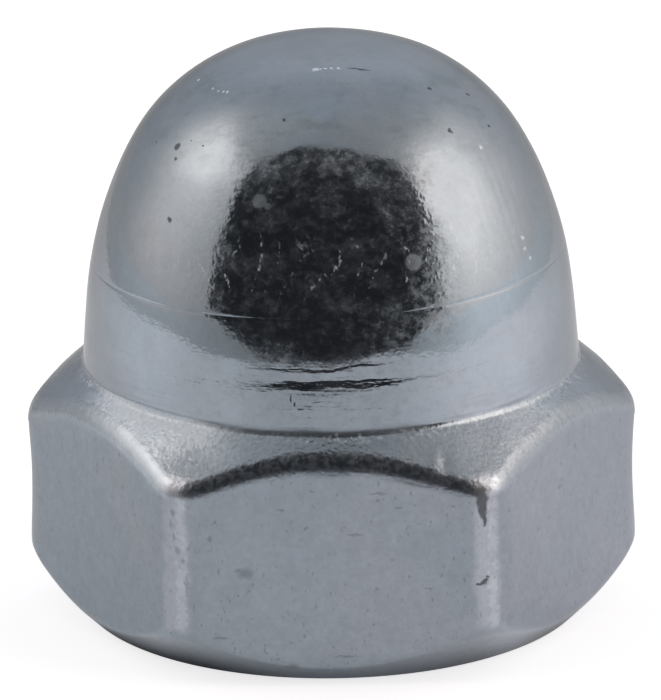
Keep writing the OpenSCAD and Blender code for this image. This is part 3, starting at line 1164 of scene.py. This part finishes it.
class CAPNUT_OT_nut(bpy.types.Operator):
    """Makes the finished nut, which stands for the plain CAD solid"""

    bl_idname = "capnut.nut"
    bl_label = "Nut"

    def execute(self, context):
        scene = context.scene
        mesh = nut_mesh(scene.capnut_sizes, scene.capnut_mesh)
        nut = bpy.data.objects.new("cap_nut_finish", mesh)
        scene.collection.objects.link(nut)
        nut.data.materials.append(plated_steel(scene.capnut_finish))
        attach(nut, BODY)
        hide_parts(NODE)
        return {"FINISHED"}


class CAPNUT_OT_stage(bpy.types.Operator):
    """Makes the floor, the tent's light and the camera"""

    bl_idname = "capnut.stage"
    bl_label = "Stage"

    def execute(self, context):
        scene = context.scene
        studio = scene.capnut_studio
        half = studio.floor_size / 2 * MM
        mesh = bpy.data.meshes.new("floor")
        low = -FLOOR_GAP * MM
        corners = [(-half, -half, low), (half, -half, low), (half, half, low), (-half, half, low)]
        mesh.from_pydata(corners, [], [(0, 1, 2, 3)])
        floor = bpy.data.objects.new("floor", mesh)
        floor.data.materials.append(studio_floor(studio))
        scene.collection.objects.link(floor)

        world = bpy.data.worlds.new("tent")
        scene.world = world
        tent_light(studio, world)
        scene.view_settings.view_transform = "Standard"
        self.camera(scene, studio)
        return {"FINISHED"}

    def camera(self, scene, studio):
        """The camera aims at a point near the axis, a little below the middle of the nut."""
        data = bpy.data.cameras.new("camera")
        data.lens, data.sensor_width = studio.lens, SENSOR_WIDTH
        data.clip_start, data.clip_end = CLIP_START, CLIP_END
        camera = bpy.data.objects.new("camera", data)
        scene.collection.objects.link(camera)
        away = studio.camera_distance * MM
        turn, rise = studio.camera_turn, studio.camera_height
        level = Vector((-math.sin(turn), math.cos(turn), 0.0)) * math.cos(rise)
        ahead = level - Vector((0.0, 0.0, math.sin(rise)))
        right = Vector((math.cos(turn), math.sin(turn), 0.0))
        up = right.cross(ahead)
        centre = Vector((0.0, 0.0, AIM_HEIGHT * MM)) - ahead * away
        ahead = (ahead + right * AIM[0] - up * AIM[1]).normalized()
        roll = studio.camera_roll
        right = (right - ahead * right.dot(ahead)).normalized()
        up = right.cross(ahead)
        rolled_right = right * math.cos(roll) + up * math.sin(roll)
        rolled_up = up * math.cos(roll) - right * math.sin(roll)
        turned = Matrix((rolled_right, rolled_up, -ahead)).transposed().to_4x4()
        camera.matrix_world = Matrix.Translation(centre) @ turned
        scene.camera = camera


class CAPNUT_PT_panel(bpy.types.Panel):
    """Lists the operators and the settings"""

    bl_idname = "CAPNUT_PT_panel"
    bl_label = "Cap nut"
    bl_space_type = "VIEW_3D"
    bl_region_type = "UI"
    bl_category = "Cap nut"

    def draw(self, context):
        for operator in OPERATORS:
            self.layout.operator(operator.bl_idname)
        for name in SETTINGS:
            group = getattr(context.scene, name)
            box = self.layout.box()
            for setting in group.bl_rna.properties:
                if setting.identifier not in ("name", "rna_type"):
                    box.prop(group, setting.identifier)


OPERATORS = (CAPNUT_OT_stage, CAPNUT_OT_nut)
SETTINGS = {
    "capnut_sizes": NutSizes,
    "capnut_mesh": NutMesh,
    "capnut_finish": NutFinish,
    "capnut_studio": Studio,
}


def register():
    """Registers the classes and gives the scene its settings."""
    for cls in (*SETTINGS.values(), *OPERATORS, CAPNUT_PT_panel):
        bpy.utils.register_class(cls)
    for name, group in SETTINGS.items():
        setattr(bpy.types.Scene, name, PointerProperty(type=group))


def unregister():
    """Takes the settings and the classes away again."""
    for name in SETTINGS:
        delattr(bpy.types.Scene, name)
    for cls in (CAPNUT_PT_panel, *OPERATORS, *SETTINGS.values()):
        bpy.utils.unregister_class(cls)


def main():
    """Registers the classes and makes the pieces."""
    register()
    bpy.ops.capnut.stage()
    bpy.ops.capnut.nut()


if __name__ == "__main__":
    main()
